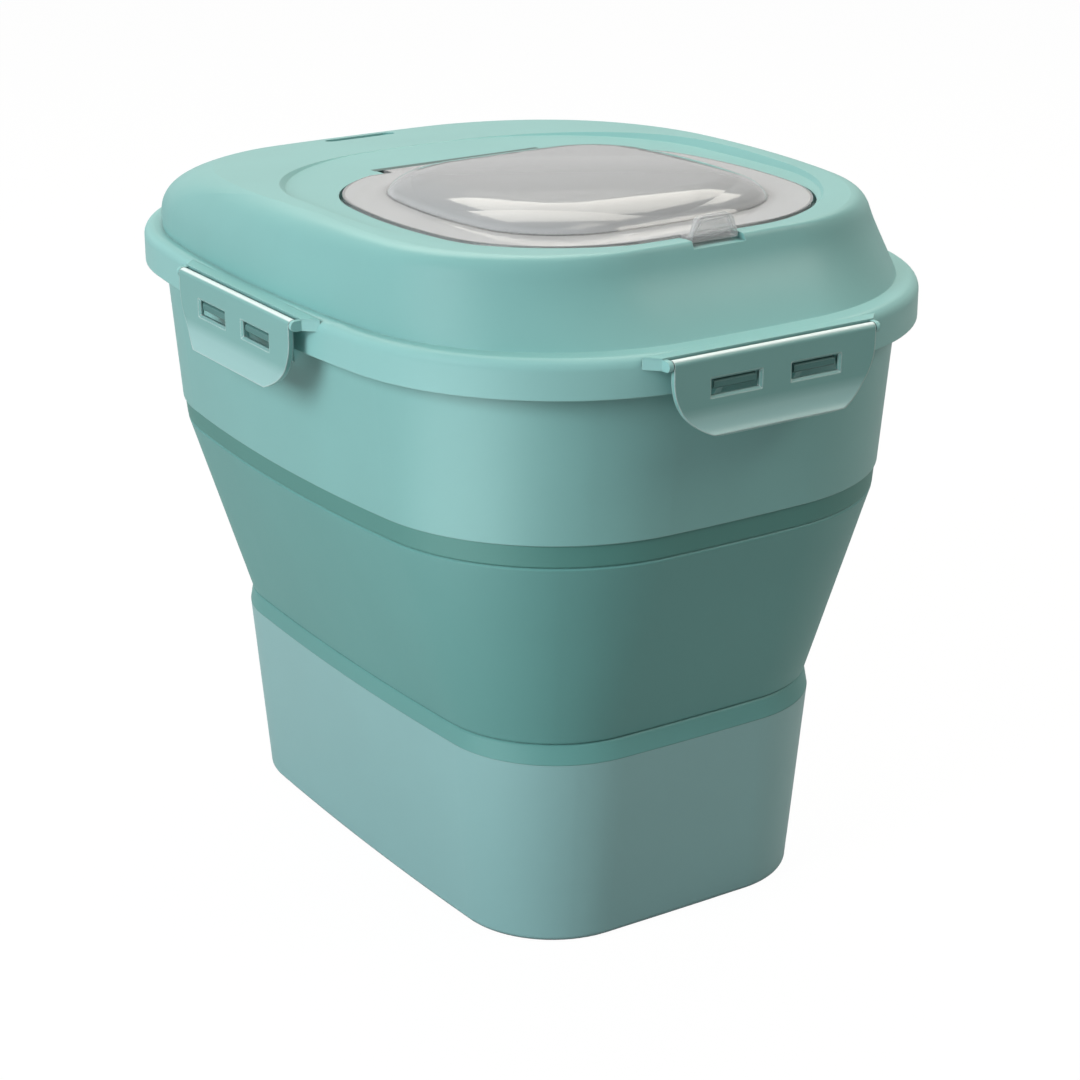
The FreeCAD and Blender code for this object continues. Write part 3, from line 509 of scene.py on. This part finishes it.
def clear_plastic():
    """The hatch's material: smoky, polished, with painted highlight and shade lines at its bends, a
    painted reflection on the flange and the tab, and clearer at the tab.
    """
    material, tree, shader = new_material("clear_hatch_plastic", SMOKE, POLISH, IOR=PP_IOR,
                                          Transmission_Weight=CLEARNESS)
    link = tree.links.new
    raised, tab, barrel, crown = hatch_masks(tree)
    rim = place_group(tree, EDGE, Radius=RIM_RADIUS)
    outline = place_group(tree, EDGE, Radius=LINE_RADIUS, Strength=3.0)
    # The flange is painted paler than the smoky middle: a painted reflection.
    colour = blend_colour(tree, raised, PAINTED_PALE_REFLECTION, SMOKE)
    # Lines along the bends: a painted white highlight and a painted dark shade line.
    for span, line in ((WHITE_SPAN, WHITE_PAINTED_HIGHLIGHT), (DARK_SPAN, DARK_PAINTED_SHADE)):
        colour = blend_colour(tree, ramp(tree, outline.outputs["Edge"], *span), colour, line)
    # The back of the hinge barrel is painted dark: painted shade.
    colour = blend_colour(tree, barrel, colour, DARK_PAINTED_SHADE)
    # The tab is painted pale: a painted reflection.
    colour = blend_colour(tree, tab, colour, PAINTED_PALE_REFLECTION)
    window = add_node(tree, "ShaderNodeMath", {"operation": "MULTIPLY"})
    link(tab, window.inputs[0])
    link(ramp(tree, rim.outputs["Edge"], *TAB_EDGE_SPAN), window.inputs[1])
    clear = add_node(tree, "ShaderNodeMapRange", To_Min=1.0, To_Max=TAB_ALPHA)
    link(window.outputs[0], clear.inputs["Value"])
    link(clear.outputs["Result"], shader.inputs["Alpha"])
    skin = place_group(tree, SKIN, Mottle=0.04, Grain_Scale=260.0, Roughness=POLISH,
                       Roughness_Spread=0.04)
    link(colour, skin.inputs["Colour"])
    link(skin.outputs["Colour"], shader.inputs["Base Color"])
    link(skin.outputs["Roughness"], shader.inputs["Roughness"])
    dome = add_node(tree, "ShaderNodeBump", Strength=1.0, Distance=1.0)
    link(crown, dome.inputs["Height"])
    link(rim.outputs["Normal"], dome.inputs["Normal"])
    link(dome.outputs["Normal"], shader.inputs["Normal"])
    return material


CLEAR = clear_plastic()
give(CLEAR, "hatch_cover")

# %% [markdown]
# ## Soft pieces
#
# Three pieces are soft: the wall between the tub and the ring, the gasket under the lid and the seal
# under the hatch. Each is modelled as two tubes of level rings, an outer one and an inner one. A
# circle is stretched to an oval and extruded up through a list of heights, then a Shrinkwrap modifier
# projects every ring along its own normals onto the nearest face of the CAD solid. The end rings stay
# a hair inside the solid's end faces, or their rays would slide along those faces and miss. The tubes
# are joined and their open ends bridged. The rings lie close together at the wall's two hinge grooves
# and far apart between them, so the shading stays clean.


# %% Tubes of rings
EDGE_RING = 0.0006
SHY = 0.00003


def tube(name, points, centre, half, tilt, levels):
    """An open tube: an oval ring at the first height, extruded up through the others."""
    bpy.ops.object.select_all(action="DESELECT")
    bpy.ops.mesh.primitive_circle_add(vertices=points, radius=1.0)
    piece = bpy.context.object
    piece.name = name
    bpy.ops.object.mode_set(mode="EDIT")
    bpy.ops.mesh.select_mode(type="VERT")
    bpy.ops.mesh.select_all(action="SELECT")
    bpy.ops.transform.resize(value=(half[0], half[1], 1.0))
    bpy.ops.transform.translate(value=(0.0, 0.0, levels[0]))
    for low, high in zip(levels, levels[1:]):
        bpy.ops.mesh.extrude_region_move(TRANSFORM_OT_translate={"value": (0.0, 0.0, high - low)})
    bpy.ops.mesh.select_all(action="SELECT")
    bpy.ops.mesh.normals_make_consistent(inside=False)
    bpy.ops.transform.rotate(value=-tilt, orient_axis="X", center_override=(0.0, 0.0, 0.0))
    bpy.ops.transform.translate(value=centre)
    bpy.ops.object.mode_set(mode="OBJECT")
    return piece


def wrap_onto(piece, node):
    """Project a tube's rings onto the nearest face of a CAD node, along the tube's own normals."""
    wrap = piece.modifiers.new("onto_cad", "SHRINKWRAP")
    wrap.target = nodes[node]
    wrap.wrap_method = "PROJECT"
    wrap.use_positive_direction = True
    wrap.use_negative_direction = True
    bpy.context.view_layer.objects.active = piece
    bpy.ops.object.modifier_apply(modifier=wrap.name)


def turn_inward(piece):
    """Turn a lining's faces towards the axis, so that both ends can be bridged without a twist."""
    bpy.context.view_layer.objects.active = piece
    bpy.ops.object.mode_set(mode="EDIT")
    bpy.ops.mesh.select_all(action="SELECT")
    bpy.ops.mesh.flip_normals()
    bpy.ops.object.mode_set(mode="OBJECT")


def deselect(piece):
    """Clear every selection flag of a mesh."""
    for part in (piece.data.polygons, piece.data.edges, piece.data.vertices):
        part.foreach_set("select", [False] * len(part))


def select_level(piece, up, height):
    """Select only the vertices that lie at one height along a direction."""
    deselect(piece)
    for vertex in piece.data.vertices:
        vertex.select = abs(vertex.co.dot(up) - height) < 0.5 * EDGE_RING


def soft_piece(name, node, material, levels, points=256, centre=(0.0, 0.0, 0.0), tilt=0.0,
               outer=(0.160, 0.205), inner=(0.080, 0.125)):
    """A soft ring or wall with the CAD solid's own faces, as one clean quad mesh."""
    levels = [levels[0] + SHY] + levels[1:-1] + [levels[-1] - SHY]
    skin = tube(name, points, centre, outer, tilt, levels)
    wrap_onto(skin, node)
    lining = tube(name + "_lining", points, centre, inner, tilt, levels)
    wrap_onto(lining, node)
    turn_inward(lining)
    skin.select_set(True)
    lining.select_set(True)
    bpy.context.view_layer.objects.active = skin
    bpy.ops.object.join()
    up = Vector((0.0, -math.sin(tilt), math.cos(tilt)))
    for end in (levels[0], levels[-1]):
        select_level(skin, up, end + up.dot(Vector(centre)))
        bpy.ops.object.mode_set(mode="EDIT")
        bpy.ops.mesh.select_mode(type="VERT")
        bpy.ops.mesh.bridge_edge_loops()
        bpy.ops.object.mode_set(mode="OBJECT")
    bpy.ops.object.mode_set(mode="EDIT")
    bpy.ops.mesh.select_all(action="SELECT")
    bpy.ops.mesh.normals_make_consistent(inside=False)
    bpy.ops.object.mode_set(mode="OBJECT")
    skin.data.materials.clear()
    skin.data.materials.append(material)
    bpy.ops.object.shade_smooth_by_angle(angle=math.radians(32.0))
    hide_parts(node)
    sizes = [1000.0 * (high - low) for low, high in zip(*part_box(node))]
    print(name, "mm:", [round(1000.0 * size, 2) for size in skin.dimensions],
          "CAD mm:", [round(size, 2) for size in sizes])
    return skin


# %% [markdown]
# ## Soft wall
#
# The upper cuff grips the ring's neck and is deeper in colour than the panel, partly for its thicker
# moulding and partly as painted shade under the ring's overhang, so its faces get a material of their
# own.

# %% Model the soft wall
GROOVE = 0.0008
GROOVE_STEPS = (-1.6, -1.1, -0.9, -0.5, 0.0, 0.5, 0.9, 1.1, 1.6)
GROOVE_MARGIN = 0.002
NECK_END_GAP = 0.002
PANEL_RINGS = 26

collapse = next(j for j in frame["joints"] if j["name"] == "collapse")
high_groove = collapse["deforming_nodes"][0]["fixed_end_z_m"]
low_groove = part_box("base_tub")[1].z + NECK_END_GAP
fold_low, fold_high = (corner.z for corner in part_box("fold_wall"))


def groove_levels(height):
    """Heights that trace one hinge groove: its two shoulders, its flanks and its bottom."""
    return [height + GROOVE * k for k in GROOVE_STEPS]


wall_levels = [fold_low, fold_low + EDGE_RING, 0.5 * (fold_low + low_groove)]
wall_levels += groove_levels(low_groove)
panel_low = low_groove + GROOVE_MARGIN
panel_height = high_groove - low_groove - 2.0 * GROOVE_MARGIN
for ring_index in range(1, PANEL_RINGS):
    wall_levels.append(panel_low + panel_height * ring_index / PANEL_RINGS)
wall_levels += groove_levels(high_groove)
wall_levels += [0.5 * (fold_high + high_groove), fold_high - EDGE_RING, fold_high]
wall = soft_piece("soft_fold_wall", "fold_wall", SOFT, wall_levels)
wall.data.materials.append(CUFF_DEEP_AND_SHADED)
wall.active_material_index = 1
deselect(wall)
for face in wall.data.polygons:
    face.select = face.center.z > high_groove
bpy.ops.object.mode_set(mode="EDIT")
bpy.ops.mesh.select_mode(type="FACE")
bpy.ops.object.material_slot_assign()
bpy.ops.object.mode_set(mode="OBJECT")
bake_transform(wall)

# %% [markdown]
# ## Gasket and seal
#
# Both are plain silicone rings that are pressed flat. The gasket lies level under the lid's ledge. The
# seal lies in the hatch's seat, which tilts to the back, so its tubes are tilted with it.

# %% Model the gasket and the seal
low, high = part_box("lid_gasket")
gasket = soft_piece("soft_lid_gasket", "lid_gasket", SEAL, [low.z, 0.5 * (low.z + high.z), high.z])
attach(gasket, "lid")

SEAL_CENTRE = (0.0, -0.04997, 0.328394)
SEAL_LEVELS = [-0.0040, -0.0027, -0.0014]
seal = soft_piece("soft_hatch_seal", "hatch_seal", SEAL, SEAL_LEVELS, centre=SEAL_CENTRE,
                  tilt=HATCH_TILT, outer=(0.100, 0.100), inner=(0.060, 0.060))
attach(seal, "hatch")

# %% [markdown]
# ## Floor and light
#
# The bin stands on a plain white floor under soft studio light. The main softbox stands high on the
# left and lights matt faces only, and a weaker one in the same place adds its sheen. A big warm one
# behind, a small one overhead and a fill on the right open up the shadows, and a card on the floor
# shows only as a soft streak down the corner. To the camera, and in part to mirror rays, the floor
# glows, so that it reads as white without more light on the bin, and it keeps the shadow.

# %% Floor
FLOOR_SIZE = 14.0
FLOOR_GLOW = 0.92
FLOOR_WHITE = 1.06
FLOOR_MIRRORED = 0.25
FLOOR_ALBEDO = 0.42
FLOOR_DROP = 0.0002

bpy.ops.object.select_all(action="DESELECT")
bpy.ops.mesh.primitive_plane_add(size=FLOOR_SIZE, location=(0.0, 0.0, -FLOOR_DROP))
floor = bpy.context.object
floor.name = "studio_floor"


def clear_ray(tree):
    """One for rays that show the background as such: straight from the camera or through glass."""
    path = add_node(tree, "ShaderNodeLightPath")
    either = add_node(tree, "ShaderNodeMath", {"operation": "MAXIMUM"})
    tree.links.new(path.outputs["Is Camera Ray"], either.inputs[0])
    tree.links.new(path.outputs["Is Transmission Ray"], either.inputs[1])
    return either.outputs[0], path


def floor_paper():
    """White paper that glows for the camera and stays a plain matt floor for the light."""
    material, tree, shader = new_material("studio_paper", (FLOOR_ALBEDO,) * 3, 0.9,
                                          Specular_IOR_Level=0.0)
    glow = add_node(tree, "ShaderNodeEmission", Strength=FLOOR_WHITE)
    clear, path = clear_ray(tree)
    shown = add_node(tree, "ShaderNodeMath", {"operation": "MULTIPLY_ADD", "use_clamp": True})
    tree.links.new(path.outputs["Is Glossy Ray"], shown.inputs[0])
    shown.inputs[1].default_value = FLOOR_MIRRORED
    tree.links.new(clear, shown.inputs[2])
    share = add_node(tree, "ShaderNodeMath", {"operation": "MULTIPLY"})
    share.inputs[1].default_value = FLOOR_GLOW
    tree.links.new(shown.outputs[0], share.inputs[0])
    mix = add_node(tree, "ShaderNodeMixShader")
    tree.links.new(share.outputs[0], mix.inputs["Fac"])
    tree.links.new(shader.outputs[0], mix.inputs[1])
    tree.links.new(glow.outputs[0], mix.inputs[2])
    tree.links.new(mix.outputs[0], tree.nodes["Material Output"].inputs["Surface"])
    return material


floor.data.materials.append(floor_paper())

# %% Lamps and world
WORLD_FILL = 0.13
BACKDROP = 0.985
MIRROR_LOW = 0.72
MIRROR_HIGH = 0.90
MIRROR_RISE = (0.15, 0.85)
COOL = (0.96, 0.99, 1.0)
WARM = (1.0, 0.955, 0.86)


def softbox(name, place, aim, width, height, power, colour, mirrored=True, lights=True):
    """A rectangular area lamp that faces a point, for matt faces, for mirrors or for both."""
    bpy.ops.object.light_add(type="AREA", location=place)
    lamp = bpy.context.object
    lamp.name = name
    lamp.data.shape = "RECTANGLE"
    lamp.data.size = width
    lamp.data.size_y = height
    lamp.data.energy = power
    lamp.data.color = colour
    lamp.visible_glossy = mirrored
    lamp.visible_diffuse = lights
    lamp.visible_camera = False
    lamp.rotation_mode = "QUATERNION"
    lamp.rotation_quaternion = (Vector(place) - Vector(aim)).to_track_quat("Z", "Y")


middle = (cad_box[0] + cad_box[1]) / 2
UP = Vector((0.0, 0.0, 1.0))
KEY_PLACE = (-1.80, -0.30, 1.05)
CARD_PLACE = Vector((-0.60, -0.20, 0.004))
softbox("left_softbox", KEY_PLACE, middle, 1.0, 1.0, 27.5, COOL, mirrored=False)
softbox("floor_card", CARD_PLACE, CARD_PLACE + UP, 0.50, 0.50, 2.8, COOL, lights=False)
softbox("left_sheen", KEY_PLACE, middle, 1.0, 1.0, 8.0, COOL)
softbox("back_softbox", (0.62, 0.95, 1.95), middle, 2.1, 1.3, 29.0, WARM)
softbox("top_softbox", (0.25, -0.45, 2.1), middle, 0.9, 0.5, 3.5, WARM)
softbox("right_fill", (1.25, -1.15, 1.5), middle, 0.7, 0.7, 8.5, WARM)


def studio_world():
    """White to the camera, dim as a lamp, and for mirror rays brighter overhead than low down."""
    world = bpy.data.worlds.new("studio")
    world.use_nodes = True
    tree = world.node_tree
    link = tree.links.new
    clear, path = clear_ray(tree)
    place = add_node(tree, "ShaderNodeTexCoord")
    axes = add_node(tree, "ShaderNodeSeparateXYZ")
    link(place.outputs["Generated"], axes.inputs[0])
    rise = add_node(tree, "ShaderNodeMapRange", {"interpolation_type": "SMOOTHSTEP"},
                    From_Min=MIRROR_RISE[0], From_Max=MIRROR_RISE[1], To_Min=MIRROR_LOW,
                    To_Max=MIRROR_HIGH)
    link(axes.outputs["Z"], rise.inputs["Value"])
    mirror = add_node(tree, "ShaderNodeMix", {"data_type": "FLOAT"})
    link(path.outputs["Is Glossy Ray"], mirror.inputs["Factor"])
    mirror.inputs["A"].default_value = WORLD_FILL
    link(rise.outputs["Result"], mirror.inputs["B"])
    seen = add_node(tree, "ShaderNodeMix", {"data_type": "FLOAT"})
    link(clear, seen.inputs["Factor"])
    link(mirror.outputs["Result"], seen.inputs["A"])
    seen.inputs["B"].default_value = BACKDROP
    sky = tree.nodes["Background"]
    sky.inputs["Color"].default_value = (1.0, 1.0, 1.0, 1.0)
    link(seen.outputs["Result"], sky.inputs["Strength"])
    return world


scene.world = studio_world()
